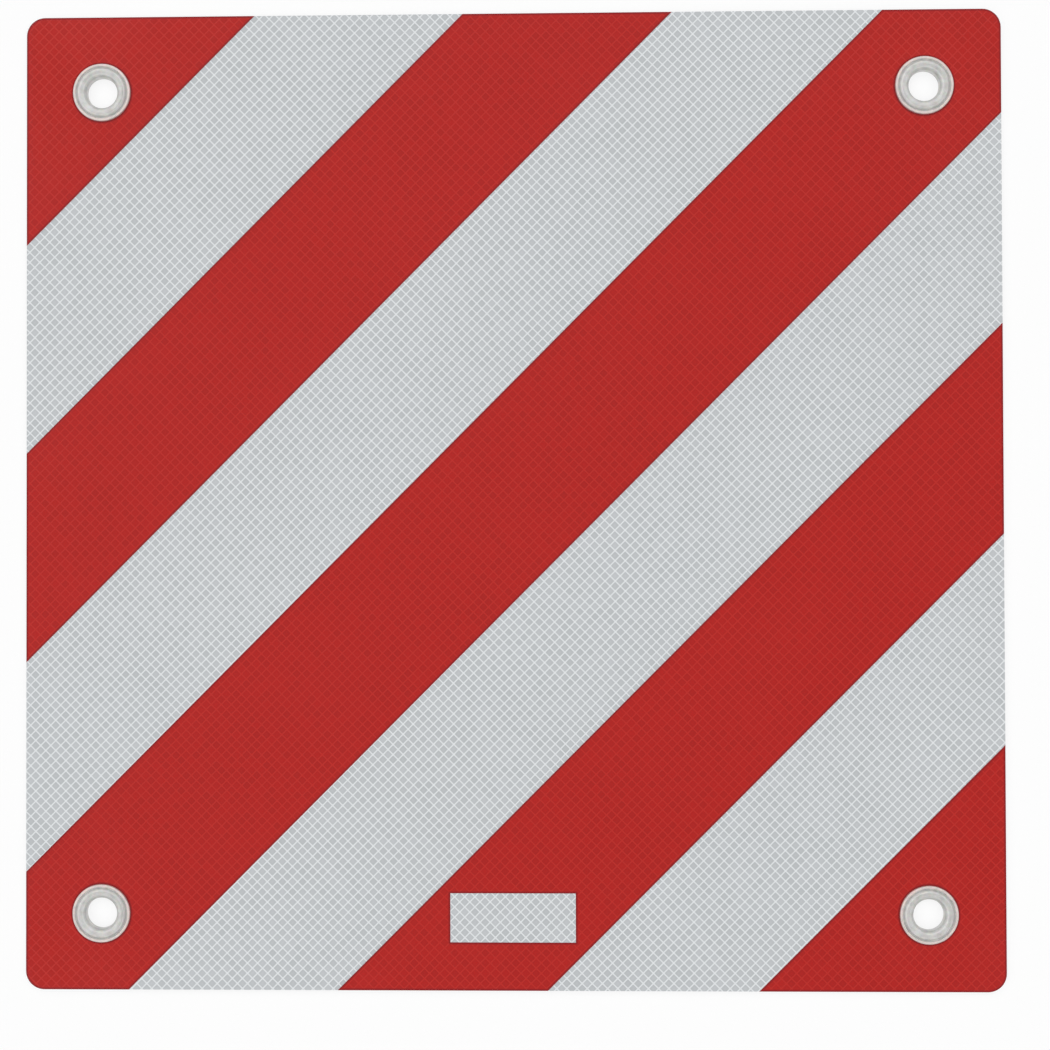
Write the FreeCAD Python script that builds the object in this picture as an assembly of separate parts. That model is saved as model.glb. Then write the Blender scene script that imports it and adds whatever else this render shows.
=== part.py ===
import FreeCAD, Part
import math
import os

from FreeCAD import Vector

# A square hazard marker board: an aluminium sheet faced with white reflective sheeting that is
# printed with slanting red stripes, and a metal eyelet set with its washer in each corner.
# It lies face up. X runs to the right and Y to the top of the face, and Z = 0 is the surface
# that the rolled backs of the eyelets rest on. All sizes are in millimetres.

# Board: the aluminium sheet, the sheeting on it and the film of print on that
BOARD_SIDE = 500.0
CORNER_R = 9.5
PANEL_T = 1.0
SHEETING_T = 0.4
PRINT_T = 0.1

# Red stripes: places across them are measured from the board's rising diagonal, and grow
# towards the bottom right corner
STRIPE_SLOPE_DEG = 45.0
STRIPE_W = 75.9
CENTRE_STRIPE_W = 80.0
CENTRE_STRIPE_SHIFT = -2.5

# Window in a red stripe where the white sheeting is left bare
WINDOW_W = 64.0
WINDOW_H = 25.0
WINDOW_SILL = 24.5

# Punched holes, and how far in from the board's edges they lie
HOLE_INSET = 39.0
HOLE_R = 8.6

# Eyelets, formed from sheet: a narrow bead at the rim, a crease inside it, and a round crown
# that leads into the bore. The heights are above the print, and the corners are those of the
# outer skin before it is bent.
EYELET_T = 0.45
BORE_R = 7.8
FLANGE_R = 14.8
BEAD_H = 1.2
BEAD_OUTER_BEND_R = 0.6
BEAD_INNER_R = 13.6
BEAD_INNER_BEND_R = 0.5
CREASE_R = 13.1
CREASE_H = 0.42
CREASE_BEND_R = 0.18
SHOULDER_R = 12.2
SHOULDER_H = 1.85
SHOULDER_BEND_R = 2.1
CROWN_H = 2.25
CROWN_BEND_R = 2.9
ROLL_R = 1.125

# Washers: a ring with a flat outer part, and an inner part dished away from the board
WASHER_T = 0.5
WASHER_R = 14.5
WASHER_BORE_R = 8.4
WASHER_DISH = 0.3
DISH_OUTER_R = 11.7
DISH_INNER_R = 10.9
DISH_BEND_R = 0.8

# Heights that follow from the stack
BACK_Z = ROLL_R + WASHER_T + WASHER_DISH
SHEETING_Z = BACK_Z + PANEL_T
PRINT_Z = SHEETING_Z + SHEETING_T
FACE_Z = PRINT_Z + PRINT_T

ORIGIN = Vector(0, 0, 0)
UP = Vector(0, 0, 1)


def hole_places():
    """The axes of the four holes, by their corners of the board."""
    reach = BOARD_SIDE / 2 - HOLE_INSET
    return {
        "top_left": Vector(-reach, reach, 0),
        "top_right": Vector(reach, reach, 0),
        "bottom_left": Vector(-reach, -reach, 0),
        "bottom_right": Vector(reach, -reach, 0),
    }


def board_layer(bottom, thickness):
    """A square layer of the board, with round corners and the four holes."""
    corner = Vector(-BOARD_SIDE / 2, -BOARD_SIDE / 2, bottom)
    layer = Part.makeBox(BOARD_SIDE, BOARD_SIDE, thickness, corner)
    upright = [edge for edge in layer.Edges if abs(edge.tangentAt(edge.FirstParameter).z) > 0.5]
    layer = layer.makeFillet(CORNER_R, upright)
    for place in hole_places().values():
        layer = layer.cut(Part.makeCylinder(HOLE_R, thickness, place + UP * bottom))
    return layer


def band(start, end):
    """A slanting band in the layer of print, between two places across the stripes."""
    length = 2 * BOARD_SIDE
    strip = Part.makeBox(length, end - start, PRINT_T, Vector(-length / 2, -end, PRINT_Z))
    strip.rotate(ORIGIN, UP, STRIPE_SLOPE_DEG)
    return strip


def window():
    """The rectangle that the print leaves bare, above the middle of the bottom edge."""
    corner = Vector(-WINDOW_W / 2, WINDOW_SILL - BOARD_SIDE / 2, PRINT_Z)
    return Part.makeBox(WINDOW_W, WINDOW_H, PRINT_T, corner)


def red_fields():
    """The fields of red print by name, from the top left corner to the bottom right one."""
    centre_start = CENTRE_STRIPE_SHIFT - CENTRE_STRIPE_W / 2
    centre_end = CENTRE_STRIPE_SHIFT + CENTRE_STRIPE_W / 2
    spans = {
        "red_corner_top_left": (-BOARD_SIDE, centre_start - 3 * STRIPE_W),
        "red_stripe_upper": (centre_start - 2 * STRIPE_W, centre_start - STRIPE_W),
        "red_stripe_centre": (centre_start, centre_end),
        "red_stripe_lower": (centre_end + STRIPE_W, centre_end + 2 * STRIPE_W),
        "red_corner_bottom_right": (centre_end + 3 * STRIPE_W, BOARD_SIDE),
    }
    film = board_layer(PRINT_Z, PRINT_T).cut(window())
    return {name: film.common(band(start, end)) for name, (start, end) in spans.items()}


def bend(before, corner, after, radius):
    """The arc that rounds the corner between two straight runs."""
    back = (before - corner).normalize()
    ahead = (after - corner).normalize()
    half_angle = back.getAngle(ahead) / 2
    inset = radius / math.tan(half_angle)
    rise = radius / math.sin(half_angle) - radius
    middle = corner + (back + ahead).normalize() * rise
    return Part.Arc(corner + back * inset, middle, corner + ahead * inset)


def bent_line(points, radii):
    """Edges through points of the XZ plane, rounded at each point but the first and last."""
    corners = [Vector(r, 0, z) for r, z in points]
    edges = []
    start = corners[0]
    for before, corner, after, radius in zip(corners, corners[1:], corners[2:], radii):
        arc = bend(before, corner, after, radius)
        edges += [Part.makeLine(start, arc.StartPoint), arc.toShape()]
        start = arc.EndPoint
    edges.append(Part.makeLine(start, corners[-1]))
    return edges


def formed_ring(side, thickness):
    """A ring of bent sheet about the Z axis, from the edges along one side of its section."""
    section = Part.Wire(side).makeOffset2D(thickness, fill=True, openResult=True)
    return section.revolve(ORIGIN, UP, 360)


def eyelet():
    """An eyelet as set: its flange's lip on the print, and its rim rolled onto the washer."""
    skin = [
        (FLANGE_R, FACE_Z),
        (FLANGE_R, FACE_Z + BEAD_H),
        (BEAD_INNER_R, FACE_Z + BEAD_H),
        (CREASE_R, FACE_Z + CREASE_H),
        (SHOULDER_R, FACE_Z + SHOULDER_H),
        (BORE_R, FACE_Z + CROWN_H),
        (BORE_R, ROLL_R),
    ]
    bend_radii = [BEAD_OUTER_BEND_R, BEAD_INNER_BEND_R, CREASE_BEND_R, SHOULDER_BEND_R, CROWN_BEND_R]
    side = bent_line(skin, bend_radii)
    roll = Part.Arc(
        Vector(BORE_R, 0, ROLL_R),
        Vector(BORE_R + ROLL_R, 0, 0),
        Vector(BORE_R + 2 * ROLL_R, 0, ROLL_R),
    )
    return formed_ring(side + [roll.toShape()], EYELET_T)


def washer():
    """A washer on the board's back, with its dished part on the eyelet's rolled rim."""
    dish_z = BACK_Z - WASHER_DISH
    upper_side = [
        (WASHER_R, BACK_Z),
        (DISH_OUTER_R, BACK_Z),
        (DISH_INNER_R, dish_z),
        (WASHER_BORE_R, dish_z),
    ]
    return formed_ring(bent_line(upper_side, [DISH_BEND_R, DISH_BEND_R]), WASHER_T)


def main():
    nodes = {
        "aluminium_panel": board_layer(BACK_Z, PANEL_T),
        "reflective_sheeting": board_layer(SHEETING_Z, SHEETING_T),
    }
    nodes.update(red_fields())
    for name, place in hole_places().items():
        nodes[f"eyelet_{name}"] = eyelet().translated(place)
        nodes[f"eyelet_washer_{name}"] = washer().translated(place)
    os.makedirs("parts", exist_ok=True)
    for name, shape in nodes.items():
        shape.exportStep(f"parts/{name}.step")
        print(f"{name}: {shape.Volume:.1f} cubic mm, {len(shape.Solids)} solid")


main()
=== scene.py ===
import math

import bpy
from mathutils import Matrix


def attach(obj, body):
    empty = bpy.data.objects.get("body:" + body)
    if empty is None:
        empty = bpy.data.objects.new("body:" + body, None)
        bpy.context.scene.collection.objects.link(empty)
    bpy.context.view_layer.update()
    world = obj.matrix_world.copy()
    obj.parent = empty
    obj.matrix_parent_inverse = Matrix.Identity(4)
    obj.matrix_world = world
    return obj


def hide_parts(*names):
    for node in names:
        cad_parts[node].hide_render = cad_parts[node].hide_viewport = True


# A square hazard marker board, lying face up on a pale floor: reflective sheeting on an aluminium
# panel, slanting stripes of red print, and a metal eyelet set through each corner.
# Lengths are in metres, and X, Y and Z are those of the frame. Colours are display values from
# 0 to 255. A noise's scale is roughly how many of its patches fit in a metre.

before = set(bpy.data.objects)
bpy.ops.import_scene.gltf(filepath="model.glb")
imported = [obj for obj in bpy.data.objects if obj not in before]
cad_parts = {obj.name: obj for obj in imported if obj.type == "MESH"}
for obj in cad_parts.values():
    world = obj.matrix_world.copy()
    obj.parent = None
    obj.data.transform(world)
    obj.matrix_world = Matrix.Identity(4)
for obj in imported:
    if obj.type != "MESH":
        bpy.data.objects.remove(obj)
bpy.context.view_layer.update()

MM = 0.001

# Camera, above the middle of the face
CAMERA_PLACE = (0.02163, -0.02115, 0.7488)
CAMERA_TURN_DEG = (0.648, 1.152, -0.162)
LENS_MM = 50
SENSOR_MM = 36

# Seal lines of the sheeting: a square lattice, set on its corner
LATTICE_PITCH = 3.665 * MM
LATTICE_TURN_DEG = 45.17
LATTICE_SHIFT = (0.11, -0.15)
LINE_WIDTH = 0.66 * MM
LINE_SOFTNESS = 0.16 * MM
CELL_CORNER_ROUNDING = 0.12

# Stripes of red print: where their borders are across them, in millimetres from the board's
# rising diagonal
STRIPE_BORDERS = {
    "red_corner_top_left": (-500.0, -270.2),
    "red_stripe_upper": (-194.3, -118.4),
    "red_stripe_centre": (-42.5, 37.5),
    "red_stripe_lower": (113.4, 189.3),
    "red_corner_bottom_right": (265.2, 500.0),
}
BOARD_HALF = 250 * MM
CORNER_R = 9.5 * MM

# Window in the print: the place of its middle, and half its sides
WINDOW_Y = -213 * MM
WINDOW_HALF = (32 * MM, 12.5 * MM)

# Eyelets: how far their axes are from the board's, and the rings of their faces: the flange's rim,
# round which shade is painted on the red, and where the painted highlight on the bead starts and is
# full
EYELET_REACH = 211 * MM
FLANGE_R = 14.8 * MM
BEAD_START = 13.0 * MM
BEAD_FULL = 13.8 * MM
CORNERS = {
    "top_left": (-EYELET_REACH, EYELET_REACH),
    "top_right": (EYELET_REACH, EYELET_REACH),
    "bottom_left": (-EYELET_REACH, -EYELET_REACH),
    "bottom_right": (EYELET_REACH, -EYELET_REACH),
}

# Where the values of a noise mostly lie
NOISE_RANGE = (0.3, 0.7)

# Films: the colours of their cells, from dark to light, and of their lines
WHITE_FILM = ((181, 185, 187), (196, 199, 202), (224, 227, 229))
RED_FILM = ((164, 16, 9), (180, 19, 12), (186, 31, 23))
FILM_IOR = 1.49
FILM_ROUGHNESS = (0.13, 0.2)
FILM_RELIEF = 0.03 * MM
FILM_BUMP = 0.6
FILM_CLOUDS = 26
FILM_GRAIN = 900
FILM_PEEL = 160

# A film's shade: the shares of its cells' own tones, its clouds and its grain, and what is added
# between two depths inside a cell
TONE_SHARE = 0.45
CLOUD_SHARE = 0.35
GRAIN_SHARE = 0.2
CELL_DEPTHS = (0.1, 0.4)
CELL_SHADES = (-0.1, 0.25)

# A film's relief: its faint orange peel stands up, and its seal lines lie deeper
PEEL_HEIGHT = 0.6
LINE_HEIGHT = -0.5

# The deeper red along the print's edges, which is thicker ink at the stripes' borders and the
# window, and painted shade at the board's rim and round the eyelets' flanges: how far in it starts
# and is full, and how strong it is
INK_AND_SHADE_RED = (134, 6, 13)
EDGE_START = 1.4 * MM
EDGE_FULL = 0.5 * MM
EDGE_STRENGTH = 0.85

# Mill finish of the panel: its tones from dark to light, and the scales of its noises by axis
MILL_TONES = ((196, 198, 200), (226, 227, 228))
MILL_SCRATCH = (238, 238, 238)
MILL_ROUGHNESS = (0.34, 0.46)
MILL_RELIEF = 0.006 * MM
MILL_BUMP = 0.6
MILL_LINES = (8, 1400, 8)
MILL_STREAKS = (1.5, 70, 1.5)
MILL_CLOUDS = 9
SCRATCH_LINES = (1600, 14, 1)
SCRATCH_TURN = 0.45
SCRATCH_RANGE = (0.73, 0.78)
SCRATCH_HEIGHT = -0.7

# Formed metal: its tones from dark to light, what its shade is made of, where the bead is given
# more or less of a painted highlight (its colour is pinkish, as the rim catching light and
# mirroring the red film), and the scales of its noises
EYELET_FINISH = {
    "tones": ((181, 181, 179), (212, 211, 208)), "metallic": 0.55, "roughness": (0.45, 0.56),
    "bead": (225, 209, 204)}
WASHER_FINISH = {
    "tones": ((176, 177, 177), (200, 200, 199)), "metallic": 0.9, "roughness": (0.41, 0.52)}
MOTTLE_SHARE = 0.6
RING_SHARE = 0.4
TONE_RANGE = (0.36, 0.64)
PATCH_RANGE = (0.42, 0.58)
PATCH_HIGHLIGHT = (0.55, 1.0)
METAL_RELIEF = 0.01 * MM
METAL_BUMP = 0.5
METAL_RINGS = 1500
METAL_MOTTLE = 230
METAL_GRAIN = 2600
METAL_TINTS = 640
TINT_STRENGTH = 0.28

# Floor: half its side, its colour, and the share of it that is white whatever the light
FLOOR_HALF = 4.0
FLOOR_COLOUR = (248, 248, 248)
FLOOR_WHITE = 0.75

# Light from the floor and from the dome, and where one gives way to the other. Gloss mirrors the
# floor at full strength, and a dome that is lighter towards its upper left.
FLOOR_AND_DOME = (0.85, 0.4)
DOME_SHINE = (0.45, 0.62)
HORIZON = (-0.1, 0.1)
SHINE_HORIZON = (-0.1, 0.25)
SHINE_SLANT = 0.7
SHINE_RANGE = (-0.5, 0.5)

# Ring of suns, of which those on one side are a little stronger
SUNS = 8
SUN_STRENGTH = 0.335
SUN_HEIGHT_DEG = 44
SUN_WIDTH_DEG = 35
STRONG_SIDE_DEG = 125
STRONG_SIDE_GAIN = 0.18

# Map of a flat piece: the corner and span of its main face, those of the rest of it, and how far
# the rest's upright edges are spread
MAIN_CORNER, MAIN_SPAN = 0.005, 0.92
REST_CORNER, REST_SPAN = 0.94, 0.04
EDGE_SPREAD = 0.008


def srgb(colour):
    """A colour of display values, as the shaders take it."""
    def straight(value):
        value /= 255
        return value / 12.92 if value <= 0.04045 else ((value + 0.055) / 1.055) ** 2.4
    return (*map(straight, colour), 1.0)


class Graph:
    """The nodes of a material or a world. An input is a number, a vector or another node's output."""

    def __init__(self, owner):
        owner.use_nodes = True
        self.owner = owner
        self.tree = owner.node_tree

    def feed(self, socket, value):
        if isinstance(value, bpy.types.NodeSocket):
            self.tree.links.new(value, socket)
        else:
            socket.default_value = value

    def node(self, kind, inputs=None, **settings):
        made = self.tree.nodes.new("ShaderNode" + kind)
        for key, value in settings.items():
            setattr(made, key, value)
        for key, value in (inputs or {}).items():
            self.feed(made.inputs[key], value)
        return made

    def math(self, operation, *values):
        return self.node("Math", dict(enumerate(values)), operation=operation).outputs[0]

    def nearest(self, *values):
        found = values[0]
        for value in values[1:]:
            found = self.math("MINIMUM", found, value)
        return found

    def blend(self, *shares):
        """The sum of the values, each times its share."""
        total = 0.0
        for share, value in shares:
            total = self.math("MULTIPLY_ADD", value, share, total)
        return total

    def length(self, x, y):
        return self.math("SQRT", self.blend((x, x), (y, y)))

    def off_box(self, x, y, half_x, half_y):
        """How far a point is from a rectangle about the origin, and 0 in it."""
        beyond = [self.math("MAXIMUM", self.math("SUBTRACT", self.math("ABSOLUTE", side), half), 0.0)
                  for side, half in ((x, half_x), (y, half_y))]
        return self.length(*beyond)

    def ramp(self, value, start, end, low=0.0, high=1.0, smooth=False):
        """The value's place between start and end, as a number from low to high."""
        kind = "SMOOTHSTEP" if smooth else "LINEAR"
        inputs = dict(enumerate((value, start, end, low, high)))
        return self.node("MapRange", inputs, interpolation_type=kind).outputs[0]

    def between(self, factor, first, second):
        """A number between two."""
        return self.node("Mix", {0: factor, 2: first, 3: second}).outputs[0]

    def mix(self, factor, first, second, blend_type="MIX"):
        """A colour between two, or one laid over the other in some other way."""
        inputs = {0: factor, 6: first, 7: second}
        return self.node("Mix", inputs, data_type="RGBA", blend_type=blend_type).outputs[2]

    def tinted(self, colour, place, scale, strength):
        """The colour with soft patches of faint tints."""
        tints = self.noise(place, scale, output="Color")
        return self.mix(strength, colour, tints, "SOFT_LIGHT")

    def place(self, scale=(1, 1, 1), turn=0.0, shift=(0, 0, 0)):
        """The point on the object, scaled, turned about Z and then shifted."""
        point = self.node("TexCoord").outputs["Object"]
        made = self.node("Mapping", {
            "Vector": point, "Scale": scale, "Rotation": (0, 0, turn), "Location": shift})
        return made.outputs[0]

    def noise(self, place, scale=1.0, detail=2.0, roughness=0.5, output="Fac"):
        made = self.node("TexNoise", {
            "Vector": place, "Scale": scale, "Detail": detail, "Roughness": roughness})
        return made.outputs[output]

    def split(self, vector):
        return self.node("SeparateXYZ", {0: vector}).outputs[:3]

    def bump(self, height, distance, strength):
        made = self.node("Bump", {"Height": height, "Distance": distance, "Strength": strength})
        return made.outputs[0]


def material(name):
    """A new material's graph and the inputs of its Principled shader."""
    graph = Graph(bpy.data.materials.new(name))
    return graph, graph.tree.nodes["Principled BSDF"].inputs


def lattice(graph):
    """Where the seal lines are, how deep inside a cell a point is, and a random number by cell."""
    scale = 1 / LATTICE_PITCH
    shift = (-LATTICE_SHIFT[0], -LATTICE_SHIFT[1], 0)
    place = graph.place((scale, scale, 0), -math.radians(LATTICE_TURN_DEG), shift)
    across, along, _ = graph.split(place)
    depth = graph.math("SMOOTH_MIN", graph.math("PINGPONG", across, 0.5),
                       graph.math("PINGPONG", along, 0.5), CELL_CORNER_ROUNDING)
    half, soft = LINE_WIDTH / 2 / LATTICE_PITCH, LINE_SOFTNESS / 2 / LATTICE_PITCH
    line = graph.ramp(depth, half + soft, half - soft, smooth=True)
    cell = graph.node("VectorMath", {0: place}, operation="FLOOR").outputs[0]
    tone = graph.node("TexWhiteNoise", {"Vector": cell}, noise_dimensions="2D").outputs[0]
    return line, depth, tone


def ink_edge_and_painted_shade(graph, start, end):
    """Where the red is deeper: thicker ink along the stripe's borders and the window, and painted
    shade at the board's rim and round the eyelets' flanges."""
    x, y, _ = graph.split(graph.place())
    across = graph.math("MULTIPLY", graph.math("SUBTRACT", x, y), math.sqrt(0.5))
    borders = [graph.math("ABSOLUTE", graph.math("SUBTRACT", across, border * MM))
               for border in (start, end)]
    straight = BOARD_HALF - CORNER_R
    rim = graph.math("SUBTRACT", CORNER_R, graph.off_box(x, y, straight, straight))
    window = graph.off_box(x, graph.math("SUBTRACT", y, WINDOW_Y), *WINDOW_HALF)
    from_axis = [graph.math("SUBTRACT", graph.math("ABSOLUTE", side), EYELET_REACH) for side in (x, y)]
    flange = graph.math("SUBTRACT", graph.length(*from_axis), FLANGE_R)
    nearest = graph.nearest(*borders, rim, window, flange)
    return graph.ramp(nearest, EDGE_START, EDGE_FULL, 0.0, EDGE_STRENGTH, smooth=True)


def film(name, colours, borders=None):
    """Glossy film over the lattice, uneven in tone, with a faint orange peel. Borders are given
    for a stripe of print."""
    graph, shader = material(name)
    dark, light, line_colour = map(srgb, colours)
    line, depth, tone = lattice(graph)
    place = graph.place()
    clouds = graph.noise(place, FILM_CLOUDS, 3)
    grain = graph.noise(place, FILM_GRAIN)
    peel = graph.noise(place, FILM_PEEL, 1)
    inside = graph.ramp(depth, *CELL_DEPTHS, *CELL_SHADES)
    shade = graph.blend((TONE_SHARE, tone), (CLOUD_SHARE, clouds), (GRAIN_SHARE, grain), (1.0, inside))
    colour = graph.mix(line, graph.mix(shade, dark, light), line_colour)
    if borders:
        # Deeper red at the print's edges: ink at the borders and window, painted shade at the rim and
        # round the flanges
        colour = graph.mix(ink_edge_and_painted_shade(graph, *borders), colour, srgb(INK_AND_SHADE_RED))
    graph.feed(shader["Base Color"], colour)
    shader["IOR"].default_value = FILM_IOR
    graph.feed(shader["Roughness"], graph.ramp(clouds, *NOISE_RANGE, *FILM_ROUGHNESS))
    relief = graph.blend((PEEL_HEIGHT, peel), (LINE_HEIGHT, line))
    graph.feed(shader["Normal"], graph.bump(relief, FILM_RELIEF, FILM_BUMP))
    return graph.owner


def rolled_aluminium():
    """Mill finish: fine lines along the sheet, a few cross scratches and soft clouds."""
    graph, shader = material("mill_aluminium")
    lines = graph.noise(graph.place(MILL_LINES), detail=4, roughness=0.6)
    streaks = graph.noise(graph.place(MILL_STREAKS), detail=3)
    clouds = graph.noise(graph.place(), MILL_CLOUDS, 3)
    scratch = graph.ramp(graph.noise(graph.place(SCRATCH_LINES, SCRATCH_TURN)), *SCRATCH_RANGE)
    colour = graph.mix(graph.blend((0.5, lines), (0.5, streaks)), *map(srgb, MILL_TONES))
    graph.feed(shader["Base Color"], graph.mix(scratch, colour, srgb(MILL_SCRATCH)))
    shader["Metallic"].default_value = 1.0
    graph.feed(shader["Roughness"], graph.ramp(clouds, *NOISE_RANGE, *MILL_ROUGHNESS))
    relief = graph.blend((1.0, lines), (SCRATCH_HEIGHT, scratch))
    graph.feed(shader["Normal"], graph.bump(relief, MILL_RELIEF, MILL_BUMP))
    return graph.owner


def formed_metal(name, centre, tones, metallic, roughness, bead=None):
    """Satin sheet metal, drawn and set about the centre: mottled, with faint rings, and with a
    painted pinkish highlight on the bead, standing in for the red film it mirrors, if a colour is
    given for it."""
    graph, shader = material(name)
    place = graph.place(shift=(-centre[0], -centre[1], 0))
    x, y, z = graph.split(place)
    radius = graph.length(x, y)
    section = graph.node("CombineXYZ", {0: radius, 1: z}).outputs[0]
    rings = graph.noise(section, METAL_RINGS, 3, 0.6)
    mottle = graph.noise(place, METAL_MOTTLE, 3)
    grain = graph.noise(place, METAL_GRAIN)
    shade = graph.ramp(graph.blend((MOTTLE_SHARE, mottle), (RING_SHARE, rings)), *TONE_RANGE)
    colour = graph.mix(shade, *map(srgb, tones))
    if bead:
        # A painted pinkish highlight on the bead, in patches: it stands in for the light the rim
        # catches and the red film it mirrors
        ring = graph.ramp(radius, BEAD_START, BEAD_FULL, smooth=True)
        patches = graph.ramp(mottle, *PATCH_RANGE, *PATCH_HIGHLIGHT)
        colour = graph.mix(graph.math("MULTIPLY", ring, patches), colour, srgb(bead))
    graph.feed(shader["Base Color"], graph.tinted(colour, place, METAL_TINTS, TINT_STRENGTH))
    shader["Metallic"].default_value = metallic
    graph.feed(shader["Roughness"], graph.ramp(mottle, *NOISE_RANGE, *roughness))
    relief = graph.blend((0.5, rings), (0.5, grain))
    graph.feed(shader["Normal"], graph.bump(relief, METAL_RELIEF, METAL_BUMP))
    return graph.owner


def lay_out(mesh, side):
    """The map for a flat piece: its upper (1) or lower (-1) face over nearly all of it, and the
    other face with the edges round it small in one corner."""
    points = [vertex.co for vertex in mesh.vertices]
    low = [min(point[axis] for point in points) for axis in range(3)]
    high = [max(point[axis] for point in points) for axis in range(3)]
    span = max(high[0] - low[0], high[1] - low[1])
    layer = mesh.uv_layers.new(name="OFBake")
    for polygon in mesh.polygons:
        normal = polygon.normal
        for index in polygon.loop_indices:
            point = points[mesh.loops[index].vertex_index]
            share = [(point[axis] - low[axis]) / span for axis in (0, 1)]
            if normal.z * side > 0.5:
                spot = [MAIN_CORNER + MAIN_SPAN * part for part in share]
            else:
                rise = 0.0 if abs(normal.z) > 0.5 else (point[2] - low[2]) / (high[2] - low[2])
                spot = [REST_CORNER + REST_SPAN * part + EDGE_SPREAD * normal[axis] * rise
                        for axis, part in enumerate(share)]
            layer.data[index].uv = spot


def dressed(node, name, skin, side):
    """The flat CAD node's form as a piece of its own, with a map and a material."""
    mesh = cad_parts[node].data.copy()
    mesh.name = name
    mesh.materials.clear()
    mesh.materials.append(skin)
    for old in list(mesh.uv_layers):
        mesh.uv_layers.remove(old)
    lay_out(mesh, side)
    piece = bpy.data.objects.new(name, mesh)
    bpy.context.scene.collection.objects.link(piece)
    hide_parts(node)
    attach(piece, "root")


def add_board():
    dressed("aluminium_panel", "panel_of_aluminium", rolled_aluminium(), -1)
    white = film("white_film", WHITE_FILM)
    dressed("reflective_sheeting", "white_sheeting_face", white, 1)
    for node, borders in STRIPE_BORDERS.items():
        red = film("film_of_" + node, RED_FILM, borders)
        dressed(node, node + "_film", red, 1)


def add_metal():
    for corner, centre in CORNERS.items():
        eyelet = formed_metal("eyelet_finish_" + corner, centre, **EYELET_FINISH)
        washer = formed_metal("washer_finish_" + corner, centre, **WASHER_FINISH)
        for node, finish in (("eyelet_" + corner, eyelet), ("eyelet_washer_" + corner, washer)):
            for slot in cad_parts[node].material_slots:
                slot.material = finish


def add_floor():
    """A pale floor that keeps a light shadow, and that doesn't hide the board from below."""
    mesh = bpy.data.meshes.new("floor")
    corners = [(-1, -1), (1, -1), (1, 1), (-1, 1)]
    mesh.from_pydata([(FLOOR_HALF * x, FLOOR_HALF * y, 0) for x, y in corners], [], [(0, 1, 2, 3)])
    floor = bpy.data.objects.new("floor", mesh)
    bpy.context.scene.collection.objects.link(floor)
    graph = Graph(bpy.data.materials.new("pale_floor"))
    nodes = graph.tree.nodes
    nodes.remove(nodes["Principled BSDF"])
    lit = graph.node("BsdfDiffuse", {"Color": srgb(FLOOR_COLOUR)}).outputs[0]
    white = graph.node("Emission", {"Color": (1, 1, 1, 1), "Strength": 1.0}).outputs[0]
    clear = graph.node("BsdfTransparent").outputs[0]
    upper = graph.node("MixShader", {0: FLOOR_WHITE, 1: lit, 2: white}).outputs[0]
    below = graph.node("NewGeometry").outputs["Backfacing"]
    both = graph.node("MixShader", {0: below, 1: upper, 2: clear}).outputs[0]
    graph.feed(nodes["Material Output"].inputs["Surface"], both)
    mesh.materials.append(graph.owner)
    floor.visible_diffuse = False
    floor.visible_glossy = False
    floor.visible_shadow = False


def add_world():
    """A soft grey dome above and a floor's pale light from below, with white behind everything."""
    world = bpy.data.worlds.new("studio")
    bpy.context.scene.world = world
    graph = Graph(world)
    x, y, up = graph.split(graph.node("TexCoord").outputs["Generated"])
    rays = graph.node("LightPath").outputs
    light = graph.ramp(up, *HORIZON, *FLOOR_AND_DOME)
    slant = graph.blend((SHINE_SLANT, y), (-SHINE_SLANT, x))
    shine = graph.ramp(slant, *SHINE_RANGE, *DOME_SHINE, smooth=True)
    shine = graph.between(graph.ramp(up, *SHINE_HORIZON), 1.0, shine)
    level = graph.between(rays["Is Glossy Ray"], light, shine)
    level = graph.between(rays["Is Camera Ray"], level, 1.0)
    background = graph.tree.nodes["Background"].inputs
    background["Color"].default_value = (1, 1, 1, 1)
    graph.feed(background["Strength"], level)


def add_suns():
    for step in range(SUNS):
        side = 2 * math.pi * (step + 0.5) / SUNS
        gain = STRONG_SIDE_GAIN * math.cos(side - math.radians(STRONG_SIDE_DEG))
        lamp = bpy.data.lights.new(f"sun_{step}", "SUN")
        lamp.energy = SUN_STRENGTH * (1 + gain)
        lamp.angle = math.radians(SUN_WIDTH_DEG)
        sun = bpy.data.objects.new(f"sun_{step}", lamp)
        sun.rotation_euler = (math.radians(90 - SUN_HEIGHT_DEG), 0, side + math.pi / 2)
        bpy.context.scene.collection.objects.link(sun)


def add_camera():
    data = bpy.data.cameras.new("camera")
    data.lens = LENS_MM
    data.sensor_width = SENSOR_MM
    camera = bpy.data.objects.new("camera", data)
    camera.location = CAMERA_PLACE
    camera.rotation_euler = [math.radians(angle) for angle in CAMERA_TURN_DEG]
    bpy.context.scene.collection.objects.link(camera)
    bpy.context.scene.camera = camera


add_camera()
add_board()
add_metal()
add_floor()
add_world()
add_suns()
bpy.context.scene.view_settings.view_transform = "Standard"
